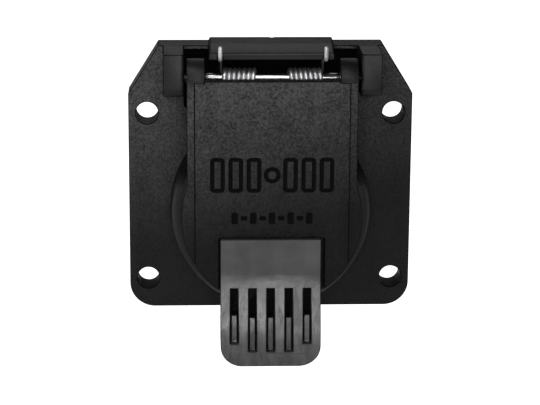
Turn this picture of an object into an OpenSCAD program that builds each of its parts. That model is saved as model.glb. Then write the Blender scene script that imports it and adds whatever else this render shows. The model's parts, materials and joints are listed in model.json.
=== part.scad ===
// Vehicle-side trailer wiring socket: a flanged housing with a sprung lid,
// six flat blade contacts round a centre pin, and a harness port behind.
// Frame: the origin is the centre of the bolt pattern, on the plane where the
// flange seats on the vehicle. The lid faces -Y, the harness leaves along +Y
// and +Z is up.

/* [Flange] */
// Width of the flange
flange_w = 80; // [78:0.5:84]
// Top edge of the flange above the bolt pattern's centre
flange_above = 43.4; // [43:0.1:46]
// Bottom edge of the flange below the bolt pattern's centre
flange_below = 32.7; // [32:0.1:36]
// Depth of the flange from its face to the seating plane
flange_t = 9; // [8:0.1:11]
// Thickness of the flange's front wall
flange_skin = 2.6; // [2:0.1:3]
// Thickness of the flange's outer wall
flange_wall = 2.4; // [2:0.1:3]
// Width of the slanted cut at each top corner
chamfer_x = 8.5; // [6:0.1:9]
// Height of the slanted cut at each top corner
chamfer_z = 13.7; // [10:0.1:14]
// Radius of each bottom corner
corner_r = 7.1; // [5:0.1:8]
// Distance between the bolt holes, across
bolt_dx = 69.5; // [68:0.1:70]
// Distance between the bolt holes, up
bolt_dz = 48.3; // [46:0.1:50]
// Diameter of the bolt holes
bolt_hole_d = 6.3; // [5.5:0.1:6.8]
// Diameter of the boss round each bolt hole
boss_d = 12.4; // [11:0.1:13]

/* [Barrel] */
// Depth of the barrel's axis below the bolt pattern's centre
barrel_drop = 3; // [2:0.1:4]
// Outer diameter of the barrel in front of the flange
barrel_d = 56.2; // [55:0.1:57]
// Distance of the rim in front of the seating plane
rim_y = 16.6; // [15:0.1:17]
// Rounding of the rim's outer edge
rim_r = 2.2; // [1:0.1:2.5]
// Diameter of the mouth, where the plug's nose is guided
mouth_d = 45.8; // [45.4:0.1:46]
// Depth of the mouth
mouth_depth = 9; // [6:0.1:9.5]
// Diameter of the bore behind the mouth
bore_d = 45.2; // [45:0.1:45.3]
// Outer diameter of the barrel behind the flange
rear_d = 54; // [53:0.1:55]
// Length of the barrel behind the seating plane
rear_len = 34; // [34:0.1:36]
// Width of the groove at the bottom of the bore that guides the plug's key
key_w = 3.2; // [2:0.1:4]

/* [Hinge] */
// Distance of the hinge axis in front of the seating plane
hinge_y = 18.5; // [18.2:0.1:18.6]
// Height of the hinge axis above the bolt pattern's centre
hinge_z = 36.2; // [36:0.1:36.4]
// Diameter of the hinge pin
pin_d = 2.5; // [2.2:0.1:2.8]
// Distance between the ears
ear_gap = 48.8; // [48.4:0.1:49.4]
// Thickness of each ear
ear_t = 5.6; // [4.5:0.1:6]
// Distance of the ears' front faces in front of the seating plane
ear_y = 23; // [22.5:0.1:24]
// Bottom of the ears' front faces
ear_bottom = 31.1; // [30:0.1:33]
// Width of the visor over the spring, at its root
visor_w = 34.9; // [33:0.1:36]
// Reach of the visor in front of the seating plane
visor_y = 24.2; // [24:0.1:24.8]
// Height of the visor's top above the flange
visor_rise = 0.75; // [0.3:0.05:1]
// Thickness of the visor
visor_t = 2; // [1.8:0.1:2.1]

/* [Lid] */
// Diameter of the lid's round part
lid_d = 50.6; // [50:0.1:52]
// Width of the lid's upper part
lid_w = 47.2; // [46:0.1:47.6]
// Width of the raised panel
panel_w = 42.8; // [42:0.1:43.4]
// Distance of the lid's lower face in front of the seating plane
lid_y = 22.6; // [22.5:0.1:22.8]
// Step from the lid's lower face up to the panel
panel_rise = 0.6; // [0.3:0.1:0.7]
// Thickness of the lid's front wall
lid_skin = 2.2; // [2:0.1:2.4]
// Gap between the lid's wall and the rim
lid_gap = 0.4; // [0.3:0.1:0.6]
// Radius of the lid's knuckles
knuckle_r = 5.3; // [5:0.1:5.5]
// Width of each knuckle
knuckle_w = 5; // [4:0.1:5.4]
// Bottom edge of the tongue behind the grip
tongue_bottom = -31.9; // [-32:0.1:-31]

/* [Grip] */
// Width of the grip
grip_w = 28.1; // [27:0.1:28.4]
// Sideways play of the grip in its notch, as fitted
grip_shift = -0.35; // [-0.4:0.05:0.4]
// Top edge of the grip
grip_top = -8.6; // [-9:0.1:-8]
// Bottom edge of the grip
grip_bottom = -44.9; // [-46:0.1:-44]
// Distance of the grip's flat face in front of the seating plane
grip_y = 24.4; // [24:0.1:25]
// How far the lower half of the grip kicks forward
grip_kick = 3.8; // [2:0.1:5]
// Width of a slot at its top
slot_w = 2.15; // [1.9:0.05:2.4]
// Distance from one slot to the next
slot_pitch = 5.1; // [4.8:0.05:5.3]

/* [Spring] */
// Diameter of the spring wire
wire_d = 1.25; // [1.1:0.05:1.3]
// Outer diameter of the two coils
coil_d = 5.6; // [5.4:0.1:5.7]
// Turns in each coil
coil_turns = 7; // [6:1:7]
// Distance from one turn to the next
coil_pitch = 1.325; // [1.32:0.005:1.34]

/* [Contacts] */
// Width of a blade contact
blade_w = 7.9; // [7:0.1:8]
// Thickness of a blade contact
blade_t = 1.6; // [1.2:0.1:1.8]
// Diameter of the circle through the blade contacts
blade_circle_d = 29; // [28:0.1:30]
// Depth of the blade tips behind the rim
blade_recess = 10; // [9.5:0.1:12]
// Diameter of the centre contact
centre_d = 5; // [4.5:0.1:5.2]
// Depth of the socket from its rim to the contact carrier
socket_depth = 32.6; // [30:0.1:33]

/* [Harness port] */
// Outside width of the port
port_w = 40; // [39:0.5:41]
// Outside height of the port
port_h = 23; // [22:0.5:25]
// Length of the port behind the rear cover
port_len = 23; // [20:0.5:26]
// Wall of the port
port_wall = 2; // [1.6:0.1:2.2]

/* [Hidden] */

eps = 0.05;               // overrun of a cut past the face that it opens
far = 60;                 // a length past the whole part
fit = 0.1;                // play between pieces of one body
pin_play = 0.06;          // radial running play of the pin in the knuckles
pin_seat = 0.01;          // radial play of the pin in the ears
round_fn = 128;           // sides of a large circle
small_fn = 48;            // sides of a small circle

black = [0.07, 0.07, 0.075];
charcoal = [0.24, 0.24, 0.25];
steel = [0.75, 0.76, 0.78];
brass = [0.80, 0.66, 0.36];
rubber = [0.05, 0.05, 0.05];

// flange and barrel
recess_top = flange_above - 1.1;
recess_bottom = 26;
recess_wall = 2;          // wall left behind the hinge recess
recess_w = ear_gap - 0.4;
visor_top = flange_above + visor_rise;
visor_chamfer = 0.3;
visor_root_x = -17.2;     // the visor's left side, at its root
visor_front_x = [-17.5, 16.7]; // its two sides, at its front edge
leg_groove_h = 0.95;
notch_r = 0.6;            // small mark at the back of the visor
counterbore_d = 48.8;
shoulder_y = 24;          // shoulder that the carrier seats against
key_depth = 1.6;
screw_circle_r = 28.4;
screw_boss_r = 3.4;
screw_boss_y = 18;
screw_hole_r = 1.5;
screw_bottom_y = 22;

// lid
panel_y = lid_y + panel_rise;
lid_back = rim_y + lid_gap;
lid_plate_back = lid_y - lid_skin;
lid_top = 36.3;
panel_top = 35.9;
lid_ring_r = 21.6;        // inside of the lid's ring wall
lid_wall = 2;
knuckle_out = lid_w / 2;
knuckle_in = knuckle_out - knuckle_w;
knuckle_foot = 35.5;      // where the knuckle's round front ends
knuckle_block_z = 30.5;
knuckle_core_r = 4.4;
notch_w = 29.5;
notch_top = -8.5;
notch_floor = 21.4;
tongue_w = 26;
tongue_corner_r = 1.5;
tongue_back = 18.4;
peg_x = 8;
peg_z = -14;
peg_r = 1.5;
peg_head_r = 2.1;
gasket_in = 23.3;
gasket_out = 24.25;
gasket_depth = 2;
gasket_gap = 0.15;        // gap between the gasket and the rim
coil_relief_r = 3.1;
strap_z = 28;             // height of the strap that holds the spring's bridge
strap_h = 4;
strap_w = 7;
strap_back = 17.3;
mark_depth = 0.4;
mark_line = 0.8;
mark_pitch = 5.05;
mark_w = 3.7;
mark_h = 9.6;
mark_z = 9.6;
dash_z = -2.75;
dash_h = 3;
dash_w = 1.5;
dash_pitch = 2.6;

// grip
knee_z = -18;             // where the grip starts to kick forward
swell_z = -38;            // where the kick ends
grip_corner_r = 6.2;
grip_lip = 0.9;           // how far the bottom edge turns back
grip_hook_z = -32.3;      // the grip reaches under the tongue below this
grip_hook_back = 18.4;
grip_steps = 28;
slot_top = -22.6;
slot_bottom_inner = -40.3;
slot_bottom_outer = -37.9;
slot_flare = 0.3;         // how much wider a slot is at its bottom
slot_floor = 20.9;
fin_w = 1.6;
fin_recess = 1.4;         // depth of a fin's front below the grip's face
fin_top_inner = -30.9;
fin_top_outer = -30.2;

// spring
coil_r = (coil_d - wire_d) / 2;
coil_x_out = 13.95;
leg_x = 14.4;
leg_z = visor_top - visor_t + leg_groove_h - fit - wire_d / 2;
hook_y = visor_y + 0.9;
hook_bend = 1.2;
hook_top = 46.1;
back_bend = 1.3;
bridge_y = 19.6;
bridge_bend = 1.4;
rings_per_turn = 12;
wire_sides = 8;

// contacts and rear
carrier_y = socket_depth - rim_y;
carrier_flange_t = 3;
carrier_back = shoulder_y + carrier_flange_t;
pad_h = 1.4;              // height of the pad at each blade's root
strap_gap = 0.3;
strap_t = 1;
bar_w = 2.8;              // width of a contact's bar and rear pin
pin_t = 0.8;
bar_y = carrier_back + strap_gap;
bar_back = bar_y + strap_t;
potting_y = [bar_back + 0.2, rear_len - 0.4];
cover_y = rear_len + 0.2;
cover_t = 3;
cover_back = cover_y + cover_t;
spigot_in = 22.2;
spigot_out = 24.2;
port_back = cover_back + port_len;
port_corner_r = 4;
pin_back = port_back - 6;
tip_chamfer = 1;
// where each contact's rear pin stands, from the barrel's axis
rear_pins = [[4, 4.5], [12, 4.5], [8, -4.5], [-8, -4.5], [-12, 4.5], [-4, 4.5]];
centre_rear_pin = [0, -4.5];

function smooth(t) = t * t * (3 - 2 * t);
function clamp(t) = max(0, min(1, t));
function blade_angle(i) = 30 + 60 * i;

// Distance of the grip's face in front of the seating plane at height z
function grip_face(z) =
    grip_y + grip_kick * smooth(clamp((knee_z - z) / (knee_z - swell_z)))
    - grip_lip * pow(clamp((swell_z - z) / (swell_z - grip_bottom)), 2);

// Extrudes an X-Z outline from y0 to y1
module slab(y0, y1) {
    translate([0, y1, 0])
        rotate([90, 0, 0])
            linear_extrude(y1 - y0) children();
}

// Extrudes a Y-Z outline from x0 to x1
module slab_x(x0, x1) {
    translate([x0, 0, 0])
        rotate([90, 0, 90])
            linear_extrude(x1 - x0) children();
}

// Turns a profile about the barrel's axis: X is the radius, Y the distance in front
module turned() {
    translate([0, 0, -barrel_drop])
        rotate([90, 0, 0])
            rotate_extrude($fn = round_fn) children();
}

module round_rod(r, y0, y1, x = 0, z = 0, fn = small_fn) {
    translate([x, y1, z])
        rotate([90, 0, 0])
            cylinder(r = r, h = y1 - y0, $fn = fn);
}

module rod_x(r, x0, x1, fn = small_fn) {
    translate([x0, -hinge_y, hinge_z])
        rotate([0, 90, 0])
            cylinder(r = r, h = x1 - x0, $fn = fn);
}

module barrel_rod(r, y0, y1) {
    round_rod(r, y0, y1, 0, -barrel_drop, round_fn);
}

module both_sides() {
    children();
    mirror([1, 0, 0]) children();
}

// A square with its corners rounded, centred
module soft_square(w, h, r) {
    square([w - 2 * r, h], center = true);
    square([w, h - 2 * r], center = true);
    for (sx = [-1, 1], sz = [-1, 1])
        translate([sx * (w / 2 - r), sz * (h / 2 - r)])
            circle(r, $fn = small_fn);
}

module corner_cut(r) {
    difference() {
        square(r + 1);
        circle(r, $fn = small_fn);
    }
}

module bolt_places() {
    for (sx = [-1, 1], sz = [-1, 1])
        translate([sx * bolt_dx / 2, sz * bolt_dz / 2]) children();
}

module screw_places() {
    for (a = [45 : 90 : 315])
        translate([screw_circle_r * sin(a), screw_circle_r * cos(a) - barrel_drop])
            children();
}

// ---- housing ----

// The flange's front view, drawn inside its edge by the given wall
module flange_outline(wall = 0) {
    run = norm([chamfer_x, chamfer_z]);
    side = flange_w / 2 - wall;
    top = flange_above - wall;
    bottom = wall - flange_below;
    r = corner_r - wall;
    slant_z = flange_above - chamfer_z - wall * (run - chamfer_z) * -chamfer_z
        / (run * chamfer_x) - wall * chamfer_x / run;
    slant_x = flange_w / 2 - chamfer_x - wall * (run - chamfer_x) * -chamfer_x
        / (run * chamfer_z) - wall * chamfer_z / run;
    difference() {
        polygon([
            [-side, bottom], [side, bottom], [side, slant_z],
            [slant_x, top], [-slant_x, top], [-side, slant_z]
        ]);
        both_sides()
            translate([side - r, bottom + r])
                mirror([0, 1]) corner_cut(r);
    }
}

// The hollows that lighten the back of the flange, with their ribs left standing
module flange_pockets() {
    rib = 1.8;
    hinge_block_w = recess_w + 2 * flange_wall;
    difference() {
        flange_outline(flange_wall);
        translate([0, -barrel_drop])
            circle(rear_d / 2 + 2.5, $fn = round_fn);
        bolt_places() circle(d = boss_d, $fn = small_fn);
        translate([-hinge_block_w / 2, recess_bottom - flange_wall])
            square([hinge_block_w, far]);
        for (z = [-21 : 9 : 24])
            translate([-far, z + barrel_drop - rib / 2])
                square([2 * far, rib]);
        for (x = [-28, -19, 19, 28])
            translate([x - rib / 2, -far])
                square([rib, far]);
    }
}

module flange() {
    difference() {
        slab(-flange_t, 0) flange_outline();
        slab(-flange_t + flange_skin, eps) flange_pockets();
        translate([-recess_w / 2, -flange_t - eps, recess_bottom])
            cube([recess_w, flange_t + eps - recess_wall, recess_top - recess_bottom]);
    }
}

module front_barrel() {
    turned()
        difference() {
            square([barrel_d / 2, rim_y]);
            translate([barrel_d / 2 - rim_r, rim_y - rim_r]) corner_cut(rim_r);
        }
}

module ear() {
    round_bottom = 3.2;
    round_inner = 0.9;
    difference() {
        slab_x(ear_gap / 2, ear_gap / 2 + ear_t)
            difference() {
                translate([-ear_y, ear_bottom])
                    square([ear_y - recess_wall, flange_above - ear_bottom]);
                translate([round_bottom - ear_y, ear_bottom + round_bottom])
                    rotate(180) corner_cut(round_bottom);
            }
        translate([ear_gap / 2 + round_inner, round_inner - ear_y, 0])
            linear_extrude(far) rotate(180) corner_cut(round_inner);
    }
}

// The visor's plan, drawn inside its sides by the given inset
module visor_plan(inset = 0) {
    polygon([
        [visor_root_x + inset, 0], [visor_root_x + visor_w - inset, 0],
        [visor_front_x[1] - inset, -visor_y], [visor_front_x[0] + inset, -visor_y]
    ]);
}

module visor() {
    difference() {
        hull() {
            translate([0, 0, visor_top - visor_t])
                linear_extrude(visor_t - visor_chamfer) visor_plan();
            translate([0, 0, visor_top - visor_t])
                linear_extrude(visor_t) visor_plan(visor_chamfer);
        }
        both_sides()
            translate([leg_x - wire_d / 2 - fit, -far, visor_top - visor_t - eps])
                cube([wire_d + 2 * fit, far - recess_wall, leg_groove_h + eps]);
        translate([notch_r, 0, visor_top])
            cylinder(r = notch_r, h = 2, center = true, $fn = small_fn);
    }
}

module housing() {
    color(black)
    difference() {
        union() {
            flange();
            front_barrel();
            barrel_rod(rear_d / 2, -eps, rear_len);
            both_sides() ear();
            visor();
            slab(screw_boss_y, rear_len)
                screw_places() circle(screw_boss_r, $fn = small_fn);
        }
        barrel_rod(mouth_d / 2, -rim_y - eps, mouth_depth - rim_y);
        barrel_rod(bore_d / 2, mouth_depth - rim_y - eps, rear_len + eps);
        barrel_rod(counterbore_d / 2, shoulder_y, rear_len + eps);
        translate([-key_w / 2, -rim_y - eps, -barrel_drop - mouth_d / 2 - key_depth])
            cube([key_w, socket_depth + eps, 4 * key_depth]);
        slab(-flange_t - eps, eps)
            bolt_places() circle(d = bolt_hole_d, $fn = small_fn);
        slab(screw_bottom_y, rear_len + eps)
            screw_places() circle(screw_hole_r, $fn = small_fn);
        rod_x(pin_d / 2 + pin_seat, -far, far);
    }
}

// ---- lid ----

module barrel_disc(r) {
    translate([0, -barrel_drop]) circle(r, $fn = round_fn);
}

module lid_outline() {
    barrel_disc(lid_d / 2);
    translate([-lid_w / 2, -barrel_drop])
        square([lid_w, lid_top + barrel_drop]);
}

module panel_outline() {
    intersection() {
        lid_outline();
        translate([-panel_w / 2, -far]) square([panel_w, far + panel_top]);
    }
}

// The hollow behind the lid's front wall, on both sides of its round ring
module lid_hollow() {
    barrel_disc(lid_ring_r);
    difference() {
        translate([lid_wall - lid_w / 2, -barrel_drop])
            square([lid_w - 2 * lid_wall, lid_top + barrel_drop + eps]);
        barrel_disc(lid_d / 2);
    }
}

module tongue_outline() {
    bottom = tongue_bottom + tongue_corner_r;
    difference() {
        translate([-tongue_w / 2, tongue_bottom])
            square([tongue_w, -barrel_drop - lid_ring_r - tongue_bottom]);
        both_sides()
            translate([tongue_w / 2 - tongue_corner_r, bottom])
                mirror([0, 1]) corner_cut(tongue_corner_r);
    }
}

module knuckle() {
    intersection() {
        rod_x(knuckle_r, knuckle_in, knuckle_out);
        translate([0, -far, knuckle_foot]) cube(2 * far);
    }
    rod_x(knuckle_core_r, knuckle_in, knuckle_out);
    translate([knuckle_in, -lid_y, knuckle_block_z])
        cube([knuckle_w, lid_y - hinge_y + knuckle_core_r, hinge_z - knuckle_block_z]);
}

// The strap that traps the bridge of the spring against the lid
module spring_strap() {
    tunnel = wire_d + 0.4;
    difference() {
        translate([-strap_w / 2, -lid_plate_back - eps, strap_z - strap_h / 2])
            cube([strap_w, lid_plate_back - strap_back + eps, strap_h]);
        translate([-far, -lid_plate_back, strap_z - tunnel / 2])
            cube([2 * far, lid_plate_back - bridge_y + wire_d / 2 + fit, tunnel]);
    }
}

// The catch that holds the plug in when the lid is down on it
module plug_catch() {
    slab_x(-3.5, 3.5)
        polygon([
            [-lid_plate_back - eps, 16.5], [-lid_plate_back - eps, 13],
            [-18.6, 13.6], [-17.2, 12.4], [-17.2, 15.2], [-18.2, 16.5]
        ]);
}

module lid_ribs() {
    for (x = [-13, 13])
        translate([x - 0.6, -lid_plate_back - eps, -18])
            cube([1.2, 2, 29]);
}

// A ring of constant line width, outlining a soft square
module outlined(w, h, r) {
    difference() {
        soft_square(w, h, r);
        soft_square(w - 2 * mark_line, h - 2 * mark_line, r - mark_line);
    }
}

// Seven outlined contact symbols, the middle one round, and a row of dashes
module marks() {
    for (k = [-3 : 3])
        translate([k * mark_pitch, mark_z]) {
            if (k != 0)
                outlined(mark_w, mark_h, 1);
            if (k == 0)
                outlined(mark_w + 0.6, mark_w + 0.6, mark_w / 2 + 0.25);
        }
    for (k = [-4 : 4])
        translate([k * dash_pitch, dash_z])
            square([dash_w, k % 2 == 0 ? dash_h : dash_h / 3], center = true);
}

module lid_shell() {
    difference() {
        union() {
            slab(-lid_y, -lid_back) lid_outline();
            slab(-panel_y, -lid_y + eps) panel_outline();
        }
        slab(-lid_plate_back, -lid_back + eps) lid_hollow();
    }
}

module lid() {
    color(black)
    difference() {
        union() {
            lid_shell();
            slab(-notch_floor, -tongue_back) tongue_outline();
            both_sides() knuckle();
            spring_strap();
            plug_catch();
            lid_ribs();
        }
        slab(-far, -notch_floor)
            translate([-notch_w / 2, notch_top - far]) square([notch_w, far]);
        turned()
            translate([gasket_in - fit, rim_y])
                square([gasket_out - gasket_in + 2 * fit, lid_gap + gasket_depth]);
        rod_x(coil_relief_r, -knuckle_in, knuckle_in);
        rod_x(pin_d / 2 + pin_play, -far, far);
        slab(-notch_floor - eps, -lid_plate_back + eps)
            both_sides() translate([peg_x, peg_z]) circle(peg_r + fit / 2, $fn = small_fn);
        slab(-panel_y - eps, -panel_y + mark_depth) marks();
    }
}

module lid_gasket() {
    color(rubber)
    turned()
        translate([gasket_in, rim_y + gasket_gap])
            square([gasket_out - gasket_in, lid_gap + gasket_depth - gasket_gap - fit]);
}

// ---- grip ----

module grip_profile() {
    polygon(concat(
        [for (k = [0 : grip_steps])
            let (z = grip_top + (grip_bottom - grip_top) * k / grip_steps)
            [-grip_face(z), z]],
        [
            [-grip_hook_back - 1, grip_bottom], [-grip_hook_back, grip_bottom + 1],
            [-grip_hook_back, grip_hook_z], [-notch_floor - fit, grip_hook_z],
            [-notch_floor - fit, grip_top]
        ]
    ));
}

module grip_outline() {
    h = grip_top - grip_bottom;
    difference() {
        translate([-grip_w / 2, grip_bottom]) square([grip_w, h]);
        both_sides()
            translate([grip_w / 2 - grip_corner_r, grip_bottom + grip_corner_r])
                mirror([0, 1]) corner_cut(grip_corner_r);
    }
}

function slot_bottom(k) = abs(k) == 2 ? slot_bottom_outer : slot_bottom_inner;

module slot(k) {
    wide = slot_w + slot_flare;
    slab(-far, -slot_floor)
        polygon([
            [k * slot_pitch - slot_w / 2, slot_top],
            [k * slot_pitch + slot_w / 2, slot_top],
            [k * slot_pitch + wide / 2, slot_bottom(k)],
            [k * slot_pitch - wide / 2, slot_bottom(k)]
        ]);
}

function fin_top(k) = abs(k) == 2 ? fin_top_outer : fin_top_inner;

// A fin inside slot k: its front follows the grip's face
module fin(k) {
    h = fin_top(k) - slot_bottom(k) + eps;
    translate([k * slot_pitch, 0, 0])
        difference() {
            intersection() {
                translate([0, fin_recess, 0])
                    slab_x(-fin_w / 2, fin_w / 2) grip_profile();
                translate([-far, -far, slot_bottom(k) - eps])
                    cube([2 * far, far - slot_floor + eps, h]);
            }
            translate([-far, -notch_floor - fit, grip_hook_z])
                cube(2 * far);
        }
}

module grip_peg() {
    round_rod(peg_r, -notch_floor - 2 * fit, -lid_plate_back + 1, peg_x, peg_z);
    round_rod(peg_head_r, -lid_plate_back + fit, -lid_plate_back + 1, peg_x, peg_z);
}

module lid_grip() {
    color(charcoal) {
        translate([grip_shift, 0, 0])
            union() {
                difference() {
                    intersection() {
                        slab_x(-grip_w / 2, grip_w / 2) grip_profile();
                        slab(-far, 0) grip_outline();
                    }
                    for (k = [-2 : 2]) slot(k);
                }
                for (k = [-2 : 2]) fin(k);
            }
        both_sides() grip_peg();
    }
}

// ---- hinge pin and spring ----

module hinge_pin() {
    reach = ear_gap / 2 + ear_t - 0.4;
    color(steel) rod_x(pin_d / 2, -reach, reach);
}

function unit(v) = v / norm(v);
function coil_point(x, a) = [x, -hinge_y + coil_r * cos(a), hinge_z + coil_r * sin(a)];
function tangent(p, i) = unit(p[min(i + 1, len(p) - 1)] - p[max(i - 1, 0)]);
function flatten(v, t) = unit(v - (v * t) * t);
function normals(p) = [
    for (i = 0, n = flatten([0, 1, 0.1], tangent(p, 0)); i < len(p);
         i = i + 1, n = flatten(n, tangent(p, min(i, len(p) - 1)))) n
];
// A bend from p0 to p2 round the corner p1
function bend(p0, p1, p2, steps) = [
    for (k = [0 : steps])
        let (t = k / steps)
        (1 - t) * (1 - t) * p0 + 2 * t * (1 - t) * p1 + t * t * p2
];

bridge_at = [-bridge_y + hinge_y, strap_z - hinge_z];
// the angle at which the inner leg leaves the coil, so that it points at the bridge
leg_lean = asin(coil_r / norm(bridge_at)) + atan2(-bridge_at[0], -bridge_at[1]);
coil_sweep = 360 * coil_turns + leg_lean;
coil_steps = ceil(rings_per_turn * coil_sweep / 360);
coil_x_in = coil_x_out - coil_pitch * coil_sweep / 360;
bridge_corner = [coil_x_in, -bridge_y, strap_z];

// Half of the spring, from the end of its outer leg to the middle of its bridge
half_path = concat(
    [[leg_x, -hook_y, hook_top], [leg_x, -hook_y, (hook_top + leg_z + hook_bend) / 2]],
    [for (k = [0 : 4])
        let (a = 180 + 22.5 * k)
        [leg_x, -hook_y + hook_bend + hook_bend * cos(a), leg_z + hook_bend + hook_bend * sin(a)]],
    [[leg_x, -hinge_y - 1.5, leg_z]],
    [for (k = [0 : 4])
        let (a = 90 - 22.5 * k)
        [(leg_x + coil_x_out) / 2,
         -hinge_y + coil_r - back_bend + back_bend * cos(a),
         leg_z - back_bend + back_bend * sin(a)]],
    [for (k = [0 : coil_steps])
        let (t = k / coil_steps)
        coil_point(coil_x_out + (coil_x_in - coil_x_out) * t, -coil_sweep * t)],
    bend(
        bridge_corner - bridge_bend * unit(bridge_corner - coil_point(coil_x_in, -leg_lean)),
        bridge_corner, bridge_corner - [bridge_bend, 0, 0], 4
    )
);
spring_path = concat(
    half_path,
    [for (k = [len(half_path) - 1 : -1 : 0])
        [-half_path[k][0], half_path[k][1], half_path[k][2]]]
);

module wire(p, r) {
    n = normals(p);
    last = len(p) - 1;
    points = [
        for (i = [0 : last], k = [0 : wire_sides - 1])
            let (a = 360 * k / wire_sides, b = cross(tangent(p, i), n[i]))
            p[i] + r * (cos(a) * n[i] + sin(a) * b)
    ];
    sides = [
        for (i = [0 : last - 1], k = [0 : wire_sides - 1])
            let (j = (k + 1) % wire_sides)
            [i * wire_sides + k, (i + 1) * wire_sides + k,
             (i + 1) * wire_sides + j, i * wire_sides + j]
    ];
    start_cap = [[for (k = [0 : wire_sides - 1]) k]];
    end_cap = [[for (k = [wire_sides - 1 : -1 : 0]) last * wire_sides + k]];
    polyhedron(points, concat(sides, start_cap, end_cap), convexity = 10);
}

module lid_spring() {
    color(steel) wire(spring_path, wire_d / 2);
}

// ---- contacts ----

// Places its children at a blade's radius, turned to its clock position
module at_blade(i) {
    translate([0, 0, -barrel_drop])
        rotate([0, blade_angle(i), 0])
            translate([0, 0, blade_circle_d / 2]) children();
}

// The bar and rear pin that carry a contact from (x, z) to its place in the port
module rear_lead(start, stop) {
    run = stop - start;
    translate([start[0], bar_y, start[1] - barrel_drop])
        rotate([0, atan2(run[0], run[1]), 0])
            translate([-bar_w / 2, 0, 0]) cube([bar_w, strap_t, norm(run)]);
    translate([stop[0] - bar_w / 2, bar_y, stop[1] - pin_t / 2 - barrel_drop])
        cube([bar_w, pin_back - bar_y, pin_t]);
}

module blade_contact(i) {
    tip = blade_recess - rim_y;
    a = blade_angle(i);
    color(brass) {
        at_blade(i)
            translate([0, 0, -blade_t / 2])
                linear_extrude(blade_t)
                    polygon([
                        [-blade_w / 2, bar_back], [blade_w / 2, bar_back],
                        [blade_w / 2, tip + tip_chamfer], [blade_w / 2 - tip_chamfer, tip],
                        [tip_chamfer - blade_w / 2, tip], [-blade_w / 2, tip + tip_chamfer]
                    ]);
        rear_lead(blade_circle_d / 2 * [sin(a), cos(a)], rear_pins[i]);
    }
}

module centre_contact() {
    tip = blade_recess - rim_y - 1;
    cone = 1.2;
    color(brass) {
        translate([0, 0, -barrel_drop])
            rotate([90, 0, 0])
                rotate_extrude($fn = small_fn)
                    polygon([
                        [0, -bar_back], [centre_d / 2, -bar_back], [centre_d / 2, -tip - cone],
                        [centre_d / 2 - cone, -tip], [0, -tip]
                    ]);
        rear_lead([0, 0], centre_rear_pin);
    }
}

module contact_carrier() {
    color([0.1, 0.1, 0.11])
    difference() {
        union() {
            barrel_rod(bore_d / 2 - fit, carrier_y, shoulder_y + eps);
            barrel_rod(counterbore_d / 2 - fit, shoulder_y, carrier_back);
            for (i = [0 : 5])
                at_blade(i)
                    translate([-blade_w / 2 - 1.4, carrier_y - pad_h, -blade_t / 2 - 1.4])
                        cube([blade_w + 2.8, pad_h + eps, blade_t + 2.8]);
            barrel_rod(centre_d / 2 + 1.6, carrier_y - pad_h, carrier_y + eps);
        }
        for (i = [0 : 5])
            at_blade(i)
                translate([-blade_w / 2 - fit / 2, 0, -blade_t / 2 - fit / 2])
                    cube([blade_w + fit, far, blade_t + fit]);
        barrel_rod(centre_d / 2 + fit / 2, 0, far);
        turned()
            translate([bore_d / 2 - 1.9, -carrier_y - 5])
                square([3, 2]);
    }
}

module carrier_seal() {
    color(rubber)
    turned()
        translate([bore_d / 2 - 1, -carrier_y - 4])
            circle(0.88, $fn = small_fn);
}

// The places of the seven rear pins
module pin_places() {
    for (p = concat(rear_pins, [centre_rear_pin]))
        translate([p[0], p[1] - barrel_drop]) children();
}

module potting() {
    color([0.12, 0.12, 0.13])
    slab(potting_y[0], potting_y[1])
        difference() {
            barrel_disc(spigot_in - fit);
            pin_places() square([bar_w + fit, pin_t + fit], center = true);
        }
}

// ---- rear cover ----

module port() {
    slab(cover_back - eps, port_back)
        translate([0, -barrel_drop])
            difference() {
                soft_square(port_w, port_h, port_corner_r);
                soft_square(port_w - 2 * port_wall, port_h - 2 * port_wall,
                            port_corner_r - port_wall);
            }
    // the ramp that the harness plug's latch clicks over
    slab_x(-4, 4)
        translate([0, port_h / 2 - barrel_drop])
            polygon([
                [port_back - 10, -eps], [port_back - 10, 2.2],
                [port_back - 8.6, 2.2], [port_back - 3, 0.4], [port_back - 3, -eps]
            ]);
    // keying ribs along the port's inner corners
    for (sx = [-1, 1])
        translate([sx * 14 - 0.7, cover_back - eps, port_h / 2 - port_wall - 1.3 - barrel_drop])
            cube([1.4, port_len - 3, 1.4]);
}

module rear_cover() {
    color(black)
    difference() {
        union() {
            slab(cover_y, cover_back) {
                barrel_disc(rear_d / 2);
                screw_places() circle(screw_boss_r + 0.2, $fn = small_fn);
            }
            turned()
                translate([spigot_in, -cover_y - eps])
                    square([spigot_out - spigot_in, cover_y + eps - carrier_back - strap_gap]);
            port();
        }
        turned()
            translate([spigot_out - 1, -rear_len + 2])
                square([3, 2]);
        slab(cover_y - eps, cover_back + eps)
            pin_places() square([bar_w + fit, pin_t + fit], center = true);
        slab(cover_y - eps, cover_back + eps)
            screw_places() circle(screw_hole_r + 0.25, $fn = small_fn);
    }
}

module rear_cover_seal() {
    color([0.55, 0.2, 0.12])
    turned()
        translate([spigot_out - 0.9, -rear_len + 2 + fit])
            square([1.02, 2 - 2 * fit]);
}

module rear_cover_screws() {
    head_r = 2.8;
    head_t = 1.9;
    cross_l = 3.2;
    cross_w = 0.8;
    color(steel)
    difference() {
        union() {
            slab(screw_bottom_y + 1, cover_back + eps)
                screw_places() circle(screw_hole_r - 0.02, $fn = small_fn);
            slab(cover_back + 0.02, cover_back + head_t)
                screw_places() circle(head_r, $fn = small_fn);
        }
        slab(cover_back + head_t - 1, cover_back + head_t + eps)
            screw_places() {
                square([cross_l, cross_w], center = true);
                square([cross_w, cross_l], center = true);
            }
    }
}

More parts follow.
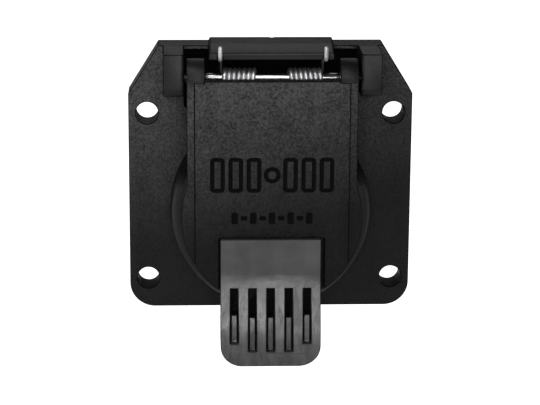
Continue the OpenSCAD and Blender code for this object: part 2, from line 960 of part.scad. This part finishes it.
housing();
lid();
lid_grip();
lid_gasket();
hinge_pin();
lid_spring();
contact_carrier();
blade_contact(0);  // blade_contact_1
blade_contact(1);  // blade_contact_2
blade_contact(2);  // blade_contact_3
blade_contact(3);  // blade_contact_4
blade_contact(4);  // blade_contact_5
blade_contact(5);  // blade_contact_6
centre_contact();
carrier_seal();
potting();
rear_cover();
rear_cover_seal();
rear_cover_screws();
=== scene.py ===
"""Looks for the trailer wiring socket: finer meshes round the CAD frame, moulded plastic,
rubber, steel and brass materials, a pale floor and soft studio light."""
import json
import math

import bmesh
import bpy
from mathutils import Matrix, Vector


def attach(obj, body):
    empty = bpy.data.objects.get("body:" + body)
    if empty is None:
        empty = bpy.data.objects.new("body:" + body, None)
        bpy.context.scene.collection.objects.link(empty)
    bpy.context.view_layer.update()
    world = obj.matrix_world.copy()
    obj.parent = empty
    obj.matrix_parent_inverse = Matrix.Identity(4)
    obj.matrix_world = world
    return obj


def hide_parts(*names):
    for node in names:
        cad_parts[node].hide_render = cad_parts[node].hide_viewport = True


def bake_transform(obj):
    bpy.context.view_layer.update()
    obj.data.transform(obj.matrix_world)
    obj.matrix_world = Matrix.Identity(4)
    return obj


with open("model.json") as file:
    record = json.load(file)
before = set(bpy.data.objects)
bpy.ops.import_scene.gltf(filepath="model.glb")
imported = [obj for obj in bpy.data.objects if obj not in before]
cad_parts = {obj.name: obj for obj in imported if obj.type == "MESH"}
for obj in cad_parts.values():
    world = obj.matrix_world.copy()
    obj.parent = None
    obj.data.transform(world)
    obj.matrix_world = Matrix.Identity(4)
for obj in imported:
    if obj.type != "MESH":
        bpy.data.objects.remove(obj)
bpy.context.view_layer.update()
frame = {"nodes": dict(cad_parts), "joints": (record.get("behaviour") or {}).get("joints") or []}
MM = 0.001

HOUSING = "housing_body"
LID = "lid_body"
HINGE = Vector(frame["joints"][0]["pos_m"])
SEED = 7

# Where the CAD's faces lie
FLANGE_FACE = -9 * MM
PANEL_FACE = -23.2 * MM
PANEL_EDGE = 21.4 * MM
STRIP_FACE = -22.6 * MM
BARREL_Z = -3 * MM
BARREL_R = 28.1 * MM
EAR_INSIDE = 24.4 * MM
EAR_BOTTOM = 31 * MM
NOTCH_FLOOR = -21.4 * MM
GRIP_SHIFT = -0.35 * MM
SLOT_PITCH = 5.1 * MM
SLOTS_TOP = -22 * MM
SLOTS_BOTTOM = -41 * MM
FIN_TOPS = (-30.9 * MM, -30.2 * MM)
CLOSE = 0.05 * MM
MARGIN = 0.01 * MM

# ---------------------------------------------------------------- camera and stage

VIEW_ELEVATION = math.radians(15.0)
VIEW_TURN = math.radians(2.4)
VIEW_ROLL = math.radians(0.35)
VIEW_DISTANCE = 0.5747
VIEW_TARGET = Vector((0.0, -0.009, -0.002))
LENS_MM = 134.5
SENSOR_MM = 36.0
FLOOR_Z = -0.17


def make_camera():
    """A long lens, looking down at the lid from a little to the left."""
    se, ce = math.sin(VIEW_ELEVATION), math.cos(VIEW_ELEVATION)
    st, ct = math.sin(VIEW_TURN), math.cos(VIEW_TURN)
    right = Vector((ct, -st, 0))
    up = Vector((st * se, ct * se, ce))
    ahead = Vector((st * ce, ct * ce, -se))
    cr, sr = math.cos(VIEW_ROLL), math.sin(VIEW_ROLL)
    right, up = cr * right + sr * up, cr * up - sr * right
    data = bpy.data.cameras.new("camera")
    data.lens = LENS_MM
    data.sensor_width = SENSOR_MM
    data.clip_start, data.clip_end = 0.01, 20
    camera = bpy.data.objects.new("camera", data)
    turn = Matrix((right, up, -ahead)).transposed().to_4x4()
    camera.matrix_world = Matrix.Translation(VIEW_TARGET - VIEW_DISTANCE * ahead) @ turn
    bpy.context.scene.collection.objects.link(camera)
    bpy.context.scene.camera = camera


# name, place, what it points at, width and depth in metres, power in watts
LIGHTS = [
    ("backdrop", (0.0, 0.75, 0.4), (0.0, 0.7, -0.17), 0.9, 0.9, 1.4),
    ("near_top", (-0.02, -0.065, 0.085), (0.0, -0.023, 0.02), 0.09, 0.02, 0.03),
    ("left", (-0.6, -0.15, 0.0), (0.0, 0.0, 0.0), 0.3, 0.3, 0.68),
    ("right", (0.6, -0.15, 0.0), (0.0, 0.0, 0.0), 0.3, 0.3, 0.28),
    ("front", (0.0, -0.6, 0.12), (0.0, 0.0, -0.02), 0.4, 0.24, 1.6),
    ("low_left", (-0.35, -0.35, -0.12), (0.0, 0.0, 0.0), 0.2, 0.08, 0.1),
]
WORLD_LEVEL = 0.04
FLOOR_GLOW = (-0.1, 0.28, 0.12, 1.1)   # from, to, and the glow of the floor in front and behind


def area_light(name, place, aim, width, depth, power):
    data = bpy.data.lights.new(name, "AREA")
    data.shape = "RECTANGLE"
    data.size = width
    data.size_y = depth
    data.energy = power
    light = bpy.data.objects.new(name, data)
    light.location = place
    light.rotation_mode = "QUATERNION"
    light.rotation_quaternion = (Vector(aim) - Vector(place)).to_track_quat("-Z", "Y")
    light.visible_camera = False
    bpy.context.scene.collection.objects.link(light)


def make_stage():
    world = bpy.data.worlds.new("studio")
    world.use_nodes = True
    shade = world.node_tree.nodes["Background"]
    shade.inputs["Color"].default_value = (1, 1, 1, 1)
    shade.inputs["Strength"].default_value = WORLD_LEVEL
    bpy.context.scene.world = world

    mesh = bpy.data.meshes.new("floor")
    bm = bmesh.new()
    bmesh.ops.create_circle(bm, cap_ends=True, radius=6, segments=64)
    bmesh.ops.translate(bm, verts=bm.verts, vec=(0, 0, FLOOR_Z))
    bm.to_mesh(mesh)
    floor = bpy.data.objects.new("floor", mesh)
    bpy.context.scene.collection.objects.link(floor)
    material = bpy.data.materials.new("floor_white")
    material.use_nodes = True
    bsdf = material.node_tree.nodes["Principled BSDF"]
    bsdf.inputs["Base Color"].default_value = (0.9, 0.9, 0.9, 1)
    bsdf.inputs["Roughness"].default_value = 0.9
    bsdf.inputs["Emission Color"].default_value = (1, 1, 1, 1)
    coords = material.node_tree.nodes.new("ShaderNodeTexCoord")
    split = material.node_tree.nodes.new("ShaderNodeSeparateXYZ")
    glow = material.node_tree.nodes.new("ShaderNodeMapRange")
    glow.interpolation_type = "SMOOTHSTEP"
    for socket, value in zip(("From Min", "From Max", "To Min", "To Max"), FLOOR_GLOW):
        glow.inputs[socket].default_value = value
    material.node_tree.links.new(coords.outputs["Object"], split.inputs[0])
    material.node_tree.links.new(split.outputs["Y"], glow.inputs["Value"])
    material.node_tree.links.new(glow.outputs["Result"], bsdf.inputs["Emission Strength"])
    mesh.materials.append(material)
    for light in LIGHTS:
        area_light(*light)
    bpy.context.scene.view_settings.view_transform = "Standard"


# ---------------------------------------------------------------- materials

TOP_LIGHT_FROM = -6 * MM        # painted light from above: the plastic is painted paler from here up to here and a little more towards the left
TOP_LIGHT_TO = 33 * MM          # up to here
TOP_LIGHT_SLANT = 0.25          # and a little more towards the left
GRAIN_DEPTH = 0.5 * MM
FINE_DEPTH = 0.1 * MM
SHADE_FROM = 4.5 * MM      # the barrel's side gets darker from here
SHADE_TO = 9 * MM          # up to here
KNUCKLES_FROM = 35.85 * MM
KNUCKLES_TO = 35.95 * MM
GRIP_DARK = (0.02, 0.02, 0.0205)
GRIP_LIGHT = (0.052, 0.052, 0.053)
GRIP_HIGHLIGHT_FROM = (-29 * MM, -21 * MM)        # the grip's painted highlight comes in below these heights, fades to a third below these, and the grip has its flow lines below these
GRIP_HIGHLIGHT_FADE = (-39 * MM, -31 * MM)     # less so below these,
GRIP_LINED = (-25 * MM, -19 * MM)       # and has its flow lines below these


class Shader:
    """A short way to build a node material."""

    def __init__(self, name):
        self.material = bpy.data.materials.new(name)
        self.material.use_nodes = True
        self.tree = self.material.node_tree
        self.bsdf = self.tree.nodes["Principled BSDF"]
        coords = self.tree.nodes.new("ShaderNodeTexCoord")
        self.place = coords.outputs["Object"]

    def node(self, kind, **settings):
        made = self.tree.nodes.new(kind)
        for key, value in settings.items():
            setattr(made, key, value)
        return made

    def link(self, source, target):
        self.tree.links.new(source, target)

    def noise(self, scale, detail=2.0, rough=0.5, stretch=(1, 1, 1), distort=0.0):
        """Fractal noise in about the given number of blobs per metre."""
        mapping = self.node("ShaderNodeMapping")
        mapping.inputs["Scale"].default_value = stretch
        mapping.inputs["Location"].default_value = (SEED, SEED * 0.37, SEED * 0.71)
        self.link(self.place, mapping.inputs["Vector"])
        noise = self.node("ShaderNodeTexNoise")
        noise.inputs["Scale"].default_value = scale
        noise.inputs["Detail"].default_value = detail
        noise.inputs["Roughness"].default_value = rough
        noise.inputs["Distortion"].default_value = distort
        self.link(mapping.outputs["Vector"], noise.inputs["Vector"])
        return noise.outputs["Fac"]

    def spread(self, value, low, high, from_low=0.3, from_high=0.7):
        node = self.node("ShaderNodeMapRange")
        node.inputs["From Min"].default_value = from_low
        node.inputs["From Max"].default_value = from_high
        node.inputs["To Min"].default_value = low
        node.inputs["To Max"].default_value = high
        self.link(value, node.inputs["Value"])
        return node.outputs["Result"]

    def math(self, operation, a, b=None):
        node = self.node("ShaderNodeMath", operation=operation)
        for socket, value in zip(node.inputs, (a, b)):
            if value is None:
                continue
            if isinstance(value, (int, float)):
                socket.default_value = value
            else:
                self.link(value, socket)
        return node.outputs[0]

    def mix(self, fac, a, b):
        """Mixes two greys or colours given as tuples."""
        node = self.node("ShaderNodeMix", data_type="RGBA")
        if isinstance(fac, (int, float)):
            node.inputs["Factor"].default_value = fac
        else:
            self.link(fac, node.inputs["Factor"])
        for socket, value in ((node.inputs[6], a), (node.inputs[7], b)):
            if isinstance(value, tuple):
                socket.default_value = (*value, 1)
            else:
                self.link(value, socket)
        return node.outputs[2]

    def axis(self, letter):
        split = self.node("ShaderNodeSeparateXYZ")
        self.link(self.place, split.inputs[0])
        return split.outputs[letter]

    def bump(self, height, strength, distance, normal=None):
        node = self.node("ShaderNodeBump")
        node.inputs["Strength"].default_value = strength
        node.inputs["Distance"].default_value = distance
        self.link(height, node.inputs["Height"])
        if normal is not None:
            self.link(normal, node.inputs["Normal"])
        return node.outputs["Normal"]

    def edge_wear(self, low, high):
        """1 along worn convex edges and 0 on faces, from the geometry's pointiness."""
        geometry = self.node("ShaderNodeNewGeometry")
        return self.spread(geometry.outputs["Pointiness"], 0, 1, low, high)


def moulded_plastic(name, tone, rough, grain=0.0, smooth_zone=None, specular=0.5, gloss=0.4,
                    top_light_gain=1.0):
    """Black moulded plastic with a spark-eroded grain. smooth_zone(shader) gives a mask
    that is 1 where the mould was polished, and the plastic has gloss as its roughness there.
    Towards its top, and a little towards its left, the grained plastic is painted paler, up to a
    given multiple of its tone: painted light from above."""
    s = Shader(name)
    blotch = s.noise(160, 3, 0.55)
    fine = s.noise(1700, 2, 0.6)
    coarse = s.noise(750, 2, 0.5)
    mask = smooth_zone(s) if smooth_zone else 0.0
    textured = s.math("SUBTRACT", 1.0, mask)
    # painted light: the grained plastic is painted paler towards its top and left, as if lit
    # from above
    slanted = s.math("SUBTRACT", s.axis("Z"), s.math("MULTIPLY", s.axis("X"), TOP_LIGHT_SLANT))
    painted_top_light = s.math("MULTIPLY", s.spread(slanted, 0, 1, TOP_LIGHT_FROM, TOP_LIGHT_TO), textured)
    body = s.mix(painted_top_light, tone, tuple(c * top_light_gain for c in tone))
    speck = s.math("MULTIPLY", s.spread(fine, -0.7, 0.7), textured)
    shade = s.math("ADD", s.spread(blotch, 0.8, 1.2), speck)
    grey = s.node("ShaderNodeVectorMath", operation="SCALE")
    s.link(body, grey.inputs[0])
    s.link(shade, grey.inputs["Scale"])
    wear = s.edge_wear(0.53, 0.62)
    worn = tuple(c * 2.2 for c in tone)
    colour = s.mix(s.math("MULTIPLY", wear, 0.25), grey.outputs[0], worn)
    s.link(colour, s.bsdf.inputs["Base Color"])
    grained = s.spread(fine, rough - 0.08, rough + 0.08)
    polished = s.math("MULTIPLY", mask, gloss - rough)
    s.link(s.math("ADD", grained, polished), s.bsdf.inputs["Roughness"])
    s.bsdf.inputs["Specular IOR Level"].default_value = specular
    height = s.math("ADD", fine, coarse)
    height = s.math("MULTIPLY", height, s.math("ADD", s.math("MULTIPLY", textured, 0.95), 0.05))
    s.link(s.bump(height, grain, GRAIN_DEPTH), s.bsdf.inputs["Normal"])
    return s.material


def ahead_of_flange(s):
    """1 on what stands in front of the flange's face."""
    return s.spread(s.axis("Y"), 1, 0, FLANGE_FACE - 0.6 * MM, FLANGE_FACE - 0.1 * MM)


def at_the_knuckles(s):
    """1 on the lid's knuckles, above its panel."""
    return s.spread(s.axis("Z"), 0, 1, KNUCKLES_FROM, KNUCKLES_TO)


def grip_plastic(name, pale, paler):
    """Smooth charcoal plastic with the flow marks and sink marks of its moulding, which are
    drawn out along the bars between its slots. pale and paler are the greys of a painted
    highlight on its lower half, streaked along the bars, where the face tilts up to the light."""
    s = Shader(name)
    flow = s.noise(150, 3, 0.5, (1.0, 1.0, 0.6), 0.5)
    patch = s.noise(95, 4, 0.65, (1.0, 1.0, 0.8), 0.8)
    streak = s.noise(480, 3, 0.6, (1.0, 1.0, 0.16), 0.3)
    cloud = s.noise(75, 3, 0.5)
    fine = s.noise(1500, 2, 0.5)
    both = s.math("MULTIPLY", s.math("ADD", s.spread(flow, 0, 1), s.spread(patch, 0, 1)), 0.5)
    face = s.mix(both, GRIP_DARK, GRIP_LIGHT)
    # painted highlight: the lower half is painted a paler grey in streaks along the bars, fading
    # again towards the bottom
    painted_highlight = s.mix(s.spread(streak, 0, 1, 0.4, 0.6), (pale,) * 3, (paler,) * 3)
    low = s.spread(s.axis("Z"), 1, 0, *GRIP_HIGHLIGHT_FROM)
    highlight_fade = s.spread(s.axis("Z"), 0.3, 1, *GRIP_HIGHLIGHT_FADE)
    s.link(s.mix(s.math("MULTIPLY", low, highlight_fade), face, painted_highlight), s.bsdf.inputs["Base Color"])
    s.link(s.spread(patch, 0.29, 0.44), s.bsdf.inputs["Roughness"])
    s.bsdf.inputs["Specular IOR Level"].default_value = 0.8
    bars = s.spread(s.axis("Z"), 1, 0.1, *GRIP_LINED)
    soft = s.bump(cloud, 0.6, 1.2 * MM)
    lined = s.bump(s.math("MULTIPLY", streak, bars), 0.8, 0.5 * MM, soft)
    s.link(s.bump(fine, 0.1, 0.2 * MM, lined), s.bsdf.inputs["Normal"])
    return s.material


def matt_black(name, tone, specular=0.08):
    """Flat black, painted as shade into engraved marks, onto edges and into cavities."""
    s = Shader(name)
    cloud = s.noise(400, 3, 0.6)
    fine = s.noise(2200, 2, 0.6)
    colour = s.mix(s.spread(cloud, 0, 1), (tone * 0.6,) * 3, (tone,) * 3)
    s.link(colour, s.bsdf.inputs["Base Color"])
    s.link(s.spread(fine, 0.7, 0.9), s.bsdf.inputs["Roughness"])
    s.bsdf.inputs["Specular IOR Level"].default_value = specular
    s.link(s.bump(fine, 0.2, FINE_DEPTH), s.bsdf.inputs["Normal"])
    return s.material


def barrel_shade():
    """The barrel's plastic where it goes over into the lid's shadow."""
    s = Shader("barrel_shade")
    cloud = s.noise(400, 3, 0.6)
    deep = s.spread(s.axis("Z"), 0, 1, SHADE_FROM, SHADE_TO)
    deep = s.math("ADD", deep, s.spread(cloud, -0.1, 0.1))
    s.link(s.mix(deep, (0.016,) * 3, (0.001,) * 3), s.bsdf.inputs["Base Color"])
    s.link(s.spread(cloud, 0.7, 0.9), s.bsdf.inputs["Roughness"])
    s.bsdf.inputs["Specular IOR Level"].default_value = 0.1
    s.link(s.bump(cloud, 0.1, FINE_DEPTH), s.bsdf.inputs["Normal"])
    return s.material


def drawn_metal(name, light, dark, rough, along=(1, 1, 1), scratch=0.12):
    """Bright drawn or stamped metal, with fine lines along its length and a little tarnish."""
    s = Shader(name)
    s.bsdf.inputs["Metallic"].default_value = 1.0
    tarnish = s.noise(260, 3, 0.6)
    lines = s.noise(2400, 2, 0.6, along)
    s.link(s.mix(s.spread(tarnish, 0, 1), dark, light), s.bsdf.inputs["Base Color"])
    s.link(s.spread(lines, rough - 0.05, rough + 0.08), s.bsdf.inputs["Roughness"])
    s.link(s.bump(lines, scratch, FINE_DEPTH), s.bsdf.inputs["Normal"])
    return s.material


def rubber(name, tone, rough=0.7):
    s = Shader(name)
    cloud = s.noise(300, 3, 0.6)
    fine = s.noise(2500, 2, 0.6)
    dark = tuple(c * 0.7 for c in tone)
    s.link(s.mix(s.spread(cloud, 0, 1), dark, tone), s.bsdf.inputs["Base Color"])
    s.link(s.spread(fine, rough - 0.08, rough + 0.08), s.bsdf.inputs["Roughness"])
    s.bsdf.inputs["Specular IOR Level"].default_value = 0.3
    s.link(s.bump(fine, 0.15, FINE_DEPTH), s.bsdf.inputs["Normal"])
    return s.material


# ---------------------------------------------------------------- pieces


SHARP_DEG = 28     # edges at least this sharp are rounded
ROOM_SHARE = 0.4   # the most of a short neighbouring edge that a rounding takes


def edge_room(edge, sharp):
    """The shortest sharp edge that leaves either end of this one at an angle, or None."""
    along = (edge.verts[1].co - edge.verts[0].co).normalized()
    lengths = []
    for vert in edge.verts:
        for other in vert.link_edges:
            if other is edge or other.calc_face_angle(0) < sharp:
                continue
            way = (other.verts[1].co - other.verts[0].co).normalized()
            if way.cross(along).length > 0.4:
                lengths.append(other.calc_length())
    return min(lengths, default=None)


def rounded(node, body, material, width=0.15 * MM, segments=2, edge=None, zones=()):
    """A copy of a CAD node with its edges rounded, standing for that node. An edge that ends
    at a short one gets a smaller rounding. edge is a material for the roundings, and zones
    holds pairs of a material and a test of a face's centre."""
    source = frame["nodes"][node]
    sharp = math.radians(SHARP_DEG)
    bm = bmesh.new()
    bm.from_mesh(source.data)
    bmesh.ops.remove_doubles(bm, verts=bm.verts, dist=1e-6)
    bmesh.ops.dissolve_limit(bm, angle_limit=math.radians(0.1), verts=bm.verts, edges=bm.edges)
    bmesh.ops.triangulate(bm, faces=bm.faces, quad_method="BEAUTY", ngon_method="BEAUTY")
    weights = bm.edges.layers.float.new("bevel_weight_edge")
    for line in bm.edges:
        if len(line.link_faces) == 2 and line.calc_face_angle(0) >= sharp:
            room = edge_room(line, sharp)
            line[weights] = 1.0 if room is None else min(1.0, ROOM_SHARE * room / width)
    slots = [material]
    for look, test in zones:
        slots.append(look)
        for face in bm.faces:
            if test(face.calc_center_median()):
                face.material_index = len(slots) - 1
    for face in bm.faces:
        face.smooth = True
    name = node + "_part"
    mesh = bpy.data.meshes.new(name)
    bm.to_mesh(mesh)
    bm.free()
    piece = bpy.data.objects.new(name, mesh)
    bpy.context.scene.collection.objects.link(piece)
    bevel = piece.modifiers.new("round_edges", "BEVEL")
    bevel.width = width
    bevel.segments = segments
    bevel.limit_method = "WEIGHT"
    bevel.use_clamp_overlap = False
    bevel.loop_slide = False
    bevel.miter_outer = "MITER_ARC"
    bevel.harden_normals = True
    if edge:
        slots.append(edge)
        bevel.material = len(slots) - 1
    for look in slots:
        mesh.materials.append(look)
    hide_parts(node)
    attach(piece, body)
    return piece


# Tests of a face's centre, for the zones of rounded()


def in_hinge_recess(c):
    inside = abs(c.x) < 24.5 * MM and 25.9 * MM < c.z < 42.4 * MM
    return inside and -8.9 * MM < c.y < -1 * MM


def between_ears(c):
    """The inner sides of the ears."""
    return abs(abs(c.x) - EAR_INSIDE) < CLOSE and c.y < -8.9 * MM and c.z > EAR_BOTTOM


def housing_shadow(c):
    return in_hinge_recess(c) or between_ears(c)


def barrel_top(c):
    """The barrel's side and the rounding of its rim above its middle, in the lid's shadow."""
    outside = -2.5 * MM < math.hypot(c.x, c.z - BARREL_Z) - BARREL_R < 0.4 * MM
    return outside and -17 * MM < c.y < FLANGE_FACE - CLOSE and c.z > SHADE_FROM


def lid_marks(c):
    """The engraved marks in the middle of the panel."""
    engraved = PANEL_FACE + MARGIN < c.y < -22.7 * MM
    return engraved and abs(c.x) < 18.3 * MM and -5 * MM < c.z < 15 * MM


def panel_step(c):
    """The step down from the panel to the side strips."""
    between = PANEL_FACE + MARGIN < c.y < STRIP_FACE - MARGIN
    return between and abs(abs(c.x) - PANEL_EDGE) < CLOSE


def tongue_front(c):
    """The lid's tongue, seen through the grip's slots."""
    return abs(c.y - NOTCH_FLOOR) < CLOSE and c.z < SLOTS_TOP


def on_a_fin(c):
    """In the lower part of a slot, within the width of its fin."""
    across = (c.x - GRIP_SHIFT + 2.5 * SLOT_PITCH) % SLOT_PITCH - 0.5 * SLOT_PITCH
    return abs(across) < 0.8 * MM and SLOTS_BOTTOM < c.z < FIN_TOPS[1] + 0.1 * MM


def grip_slots(c):
    """The floors beside the fins in the grip's slots, and the fins' tops."""
    fin_top = on_a_fin(c) and min(abs(c.z - top) for top in FIN_TOPS) < CLOSE
    inside = SLOTS_BOTTOM < c.z < SLOTS_TOP and abs(c.x - GRIP_SHIFT) < 12 * MM
    return inside and (c.y > -22.9 * MM or fin_top)


def grip_fins(c):
    """The fronts and sides of the fins in the grip's slots."""
    return on_a_fin(c) and not grip_slots(c)


# ---------------------------------------------------------------- the spring

WIRE_R = 0.625 * MM
WIRE_SIDES = 16
WIRE_DOME = [(0.35, 0.0), (0.75, 0.12), (0.94, 0.32), (1.0, 0.65)]   # share of radius, setback
COIL_R = 2.175 * MM
COIL_TURNS = 7
COIL_PITCH = 1.325 * MM
COIL_X = 13.95 * MM
LEG_X = 14.4 * MM
LEG_Z = 42.275 * MM
HOOK_Y = -25.1 * MM
HOOK_TOP = 46.1 * MM
HOOK_BEND = 1.2 * MM
BACK_BEND = 1.3 * MM
BRIDGE = Vector((0, -19.6 * MM, 28 * MM))
BRIDGE_BEND = 1.4 * MM


def arc(x, y, z, radius, start, stop, steps):
    """Points on an arc in the Y-Z plane, angles in degrees."""
    points = []
    for k in range(steps + 1):
        a = math.radians(start + (stop - start) * k / steps)
        points.append(Vector((x, y + radius * math.cos(a), z + radius * math.sin(a))))
    return points


def spring_path():
    """The right half of the spring's wire, from its outer hook to the middle of its bridge,
    and the range of its points on the leg that runs back under the visor."""
    reach = BRIDGE - HINGE
    lean = math.asin(COIL_R / math.hypot(reach.y, reach.z)) + math.atan2(-reach.y, -reach.z)
    sweep = math.tau * COIL_TURNS + lean
    inner_x = COIL_X - COIL_PITCH * sweep / math.tau
    path = [Vector((LEG_X, HOOK_Y, HOOK_TOP)), Vector((LEG_X, HOOK_Y, HOOK_TOP - 1 * MM))]
    path += arc(LEG_X, HOOK_Y + HOOK_BEND, LEG_Z + HOOK_BEND, HOOK_BEND, 180, 270, 10)
    leg_start = len(path)
    path += [Vector((LEG_X, HINGE.y - 1.5 * MM, LEG_Z))]
    path += arc((LEG_X + COIL_X) / 2, HINGE.y + COIL_R - BACK_BEND, LEG_Z - BACK_BEND,
                BACK_BEND, 90, 0, 10)
    leg_end = len(path)
    steps = 36 * COIL_TURNS
    for k in range(steps + 1):
        t = k / steps
        a = -sweep * t
        path.append(Vector((COIL_X + (inner_x - COIL_X) * t,
                            HINGE.y + COIL_R * math.cos(a), HINGE.z + COIL_R * math.sin(a))))
    corner = Vector((inner_x, BRIDGE.y, BRIDGE.z))
    start = corner - BRIDGE_BEND * (corner - path[-1]).normalized()
    stop = corner - Vector((BRIDGE_BEND, 0, 0))
    for k in range(9):
        t = k / 8
        path.append((1 - t) ** 2 * start + 2 * t * (1 - t) * corner + t * t * stop)
    path.append(Vector((0, BRIDGE.y, BRIDGE.z)))
    return path, range(leg_start, leg_end)


def swept(name, path, radius, sides, material):
    """A round wire along a path, with a domed first end and a flat last end."""
    first = (path[1] - path[0]).normalized()
    rings = [(path[0] + first * radius * back, radius * share) for share, back in WIRE_DOME]
    rings += [(p, radius) for p in path[1:]]
    bm = bmesh.new()
    normal = Vector((0, 1, 0.1))
    loops = []
    for i, (point, r) in enumerate(rings):
        ahead = rings[min(i + 1, len(rings) - 1)][0]
        behind = rings[max(i - 1, 0)][0]
        tangent = (ahead - behind).normalized()
        normal = (normal - tangent * normal.dot(tangent)).normalized()
        side = tangent.cross(normal)
        loops.append([
            bm.verts.new(point + r * (math.cos(math.tau * k / sides) * normal
                                      + math.sin(math.tau * k / sides) * side))
            for k in range(sides)
        ])
    for a, b in zip(loops, loops[1:]):
        for k in range(sides):
            j = (k + 1) % sides
            bm.faces.new((a[k], a[j], b[j], b[k])).smooth = True
    bm.faces.new(loops[0][::-1])
    bm.faces.new(loops[-1])
    bmesh.ops.recalc_face_normals(bm, faces=bm.faces)
    mesh = bpy.data.meshes.new(name)
    bm.to_mesh(mesh)
    bm.free()
    mesh.materials.append(material)
    piece = bpy.data.objects.new(name, mesh)
    bpy.context.scene.collection.objects.link(piece)
    return piece


def make_spring(material, shaded):
    """The spring as two halves, each running from the housing's end to the lid's end. Their
    legs under the visor have the shaded material."""
    right, leg = spring_path()
    left = [Vector((-p.x, p.y, p.z)) for p in right]
    extra = len(WIRE_DOME) - 1
    dark = range((leg.start + extra) * WIRE_SIDES, (leg.stop + extra) * WIRE_SIDES)
    for name, path, side in (("spring_right", right, 1), ("spring_left", left, -1)):
        piece = swept(name, path, WIRE_R, WIRE_SIDES, material)
        piece.data.materials.append(shaded)
        for k in dark:
            piece.data.polygons[k].material_index = 1
        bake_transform(piece)
        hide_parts("lid_spring")


# ---------------------------------------------------------------- the whole object

BLACK = (0.005, 0.005, 0.0052)
DARK_GREY = (0.02, 0.02, 0.022)


def make_housing_and_lid():
    # flat blacks of painted shade, for recesses, creases, slots and edge roundings where shade
    # falls
    painted_shade = matt_black("cavity_painted_shade", 0.003)
    # painted shade: a flat black for the roundings of the edges
    edge = matt_black("edge_painted_shade", 0.004)
    tongue = matt_black("tongue_painted_shade", 0.006)
    housing_look = moulded_plastic("housing_plastic", BLACK, 0.7, 1.0, ahead_of_flange,
                                   specular=0.32, gloss=0.5, top_light_gain=9.0)
    lid_look = moulded_plastic("lid_plastic", BLACK, 0.7, 1.0, at_the_knuckles,
                               specular=0.24, gloss=0.5, top_light_gain=9.5)
    # painted shade: flat black in the hinge recess and on the ears' inner sides, and the
    # barrel's painted shadow on its top
    rounded("housing", HOUSING, housing_look, 0.22 * MM, edge=edge,
            zones=[(painted_shade, housing_shadow), (barrel_shade(), barrel_top)])
    # painted shade: flat black in the engraved marks, in the step beside the panel and on the
    # tongue behind the grip's slots
    rounded("lid", LID, lid_look, 0.2 * MM, edge=edge,
            zones=[(painted_shade, lid_marks), (painted_shade, panel_step), (tongue, tongue_front)])
    grip_look = grip_plastic("grip_plastic", 0.03, 0.165)
    # painted shade: the fins get a darker copy of the grip plastic with a fainter painted
    # highlight, as they stand back in the slots
    shaded_fin_look = grip_plastic("grip_fins", 0.02, 0.04)
    # painted shade: flat black on the slot floors beside the fins and on the fins' tops, and
    # dark grey on the grip's edge roundings
    grip = rounded("lid_grip", LID, grip_look, 0.2 * MM, edge=matt_black("grip_edge_painted_shade", 0.03, 0.3),
                   zones=[(painted_shade, grip_slots), (shaded_fin_look, grip_fins)])
    even = grip.modifiers.new("even_normals", "WEIGHTED_NORMAL")
    even.weight = 100


def make_small_parts():
    black_rubber = rubber("black_rubber", (0.018, 0.018, 0.018))
    red_rubber = rubber("red_silicone", (0.30, 0.06, 0.035), 0.55)
    carrier_look = moulded_plastic("carrier_plastic", DARK_GREY, 0.45, 0.1)
    resin_look = moulded_plastic("potting_resin", DARK_GREY, 0.25, 0.05)
    cover_look = moulded_plastic("cover_plastic", BLACK, 0.5, 0.25)
    brass_look = drawn_metal("contact_brass", (0.80, 0.62, 0.30), (0.62, 0.46, 0.2), 0.25,
                             (1, 0.15, 1))
    zinc_look = drawn_metal("zinc_plate", (0.62, 0.63, 0.66), (0.45, 0.46, 0.5), 0.3)
    steel_look = drawn_metal("bright_steel", (0.60, 0.60, 0.61), (0.4, 0.4, 0.41), 0.2,
                             (0.2, 1, 1))
    wire_look = drawn_metal("spring_wire", (0.67, 0.67, 0.68), (0.42, 0.42, 0.43), 0.42)
    # painted shade: a dark copy of the spring wire for the legs that run back under the visor
    shaded_wire_look = drawn_metal("wire_painted_shade", (0.06, 0.06, 0.06), (0.02, 0.02, 0.02), 0.5)
    rounded("lid_gasket", LID, black_rubber)
    rounded("hinge_pin", HOUSING, steel_look, 0.2 * MM)
    rounded("contact_carrier", HOUSING, carrier_look, 0.2 * MM)
    for k in range(1, 7):
        rounded(f"blade_contact_{k}", HOUSING, brass_look)
    rounded("centre_contact", HOUSING, brass_look, 0.2 * MM)
    rounded("carrier_seal", HOUSING, black_rubber)
    rounded("potting", HOUSING, resin_look)
    rounded("rear_cover", HOUSING, cover_look, 0.25 * MM)
    rounded("rear_cover_seal", HOUSING, red_rubber)
    rounded("rear_cover_screws", HOUSING, zinc_look)
    make_spring(wire_look, shaded_wire_look)


make_camera()
make_stage()
make_housing_and_lid()
make_small_parts()
